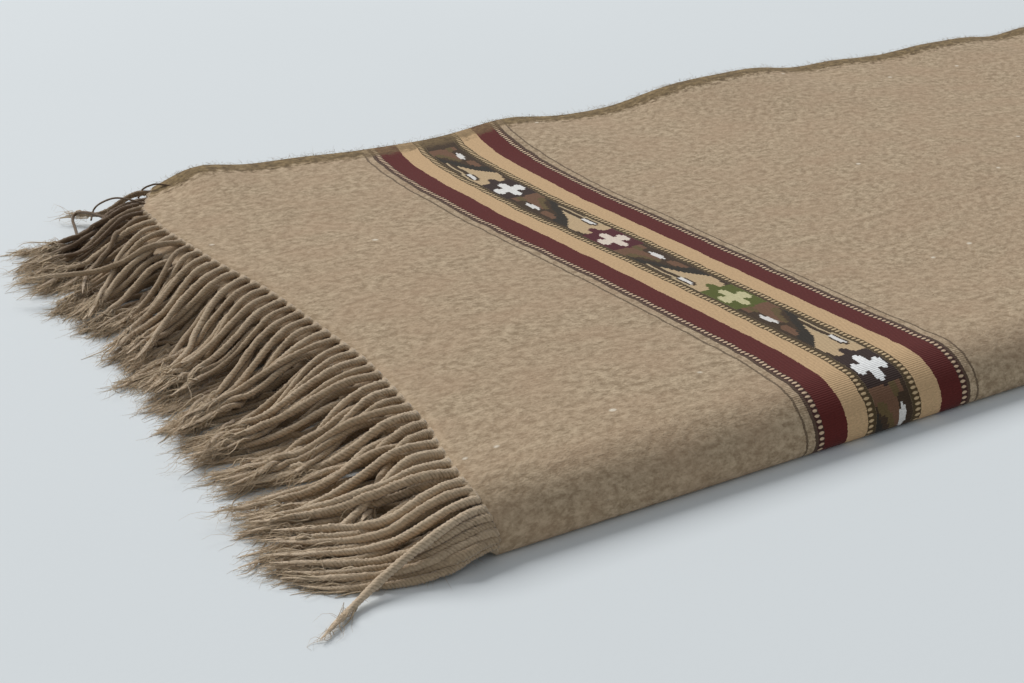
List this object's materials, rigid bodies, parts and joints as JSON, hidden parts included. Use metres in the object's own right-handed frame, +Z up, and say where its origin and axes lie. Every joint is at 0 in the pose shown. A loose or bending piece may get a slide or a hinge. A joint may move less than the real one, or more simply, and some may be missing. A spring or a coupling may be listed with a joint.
{
  "type": "wool shawl",
  "caption": "Folded fulled-wool shawl with a patterned woven band across it, dark selvedges and a twisted cord fringe; a soft wrap for the shoulders.",
  "frame": {"origin": "middle of the underside of the folded shawl's box, on the surface it lies on", "axes": "+X along the warp from the fringed end to the cross fold; +Y along the weft from the soft front fold to the selvedges; +Z up"},
  "size_m": [1.0922, 0.4004, 0.028],
  "materials": {
    "wool_cloth": "fulled wool, woven, matt",
    "wool_cord": "twisted wool cord, matt"
  },
  "bodies": {
    "root": {"cloth": "wool_cloth", "fringe_outer": "wool_cord", "fringe_inner": "wool_cord"}
  },
  "joints": []
}
